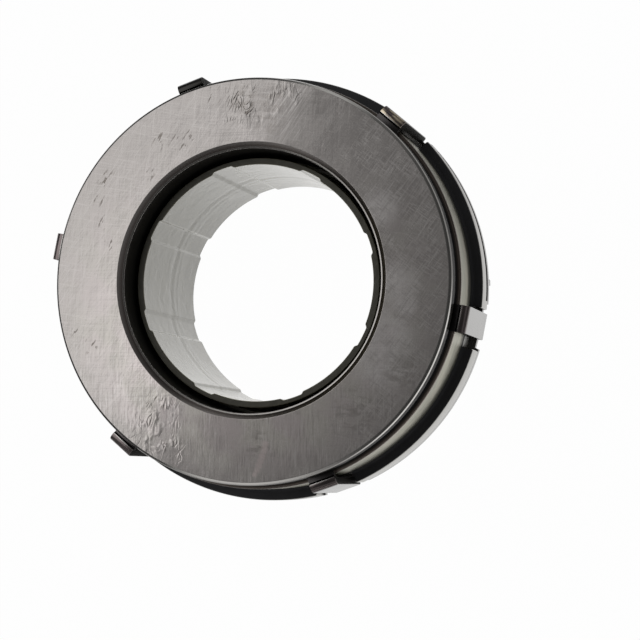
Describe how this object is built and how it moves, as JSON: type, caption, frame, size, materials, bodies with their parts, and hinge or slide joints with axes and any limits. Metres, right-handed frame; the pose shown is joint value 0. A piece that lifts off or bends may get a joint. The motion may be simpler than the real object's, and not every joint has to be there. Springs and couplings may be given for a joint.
{
  "type": "clutch release bearing",
  "caption": "Clutch release bearing: a ground steel thrust ring on a ball bearing that floats under the folded tabs of a retainer plate, on a grooved plastic guide sleeve.",
  "frame": {"origin": "centre of the guide sleeve's rear end, on the bearing axis", "axes": "+Z along the bearing axis, from the sleeve's rear end to the thrust face; +X through one tab's middle"},
  "size_m": [0.0696, 0.0696, 0.0326],
  "materials": {
    "grey_polymer": "moulded, satin, olive grey",
    "plate_steel": "cold-rolled sheet, browned on its folds",
    "spring_steel": "blued strip",
    "race_steel": "turned and polished, brown at its front edge",
    "seal_rubber": "matte",
    "shield_steel": "pressed sheet",
    "ground_steel": "ground face on a black hardened ring",
    "cage_polymer": "moulded, satin",
    "ball_steel": "polished"
  },
  "bodies": {
    "carrier": {"guide_sleeve": "grey_polymer", "retainer_plate": "plate_steel"},
    "washer": {"wave_washer": "spring_steel"},
    "race": {"outer_race": "race_steel", "front_seal": "seal_rubber", "rear_shield": "shield_steel"},
    "ring": {"thrust_ring": "ground_steel"},
    "cage": {"ball_cage": "cage_polymer", "ball_01": "ball_steel", "ball_02": "ball_steel", "ball_03": "ball_steel", "ball_04": "ball_steel", "ball_05": "ball_steel", "ball_06": "ball_steel", "ball_07": "ball_steel", "ball_08": "ball_steel", "ball_09": "ball_steel", "ball_10": "ball_steel", "ball_11": "ball_steel", "ball_12": "ball_steel", "ball_13": "ball_steel", "ball_14": "ball_steel", "ball_15": "ball_steel", "ball_16": "ball_steel", "ball_17": "ball_steel", "ball_18": "ball_steel", "ball_19": "ball_steel", "ball_20": "ball_steel"}
  },
  "joints": [
    {"name": "centre_x", "type": "slide", "parent": "carrier", "child": "washer", "axis": [1, 0, 0], "range_m": [-0.0003, 0.0003]},
    {"name": "centre_y", "type": "slide", "parent": "washer", "child": "race", "axis": [0, 1, 0], "range_m": [-0.0003, 0.0003]},
    {"name": "ring_spin", "type": "hinge", "parent": "race", "child": "ring", "pos_m": [0, 0, 0.025], "axis": [0, 0, 1], "continuous": true},
    {"name": "cage_spin", "type": "hinge", "parent": "race", "child": "cage", "pos_m": [0, 0, 0.025], "axis": [0, 0, 1], "continuous": true}
  ],
  "couplings": [
    {"joint": "cage_spin", "follows": "ring_spin", "ratio": 0.4586}
  ]
}
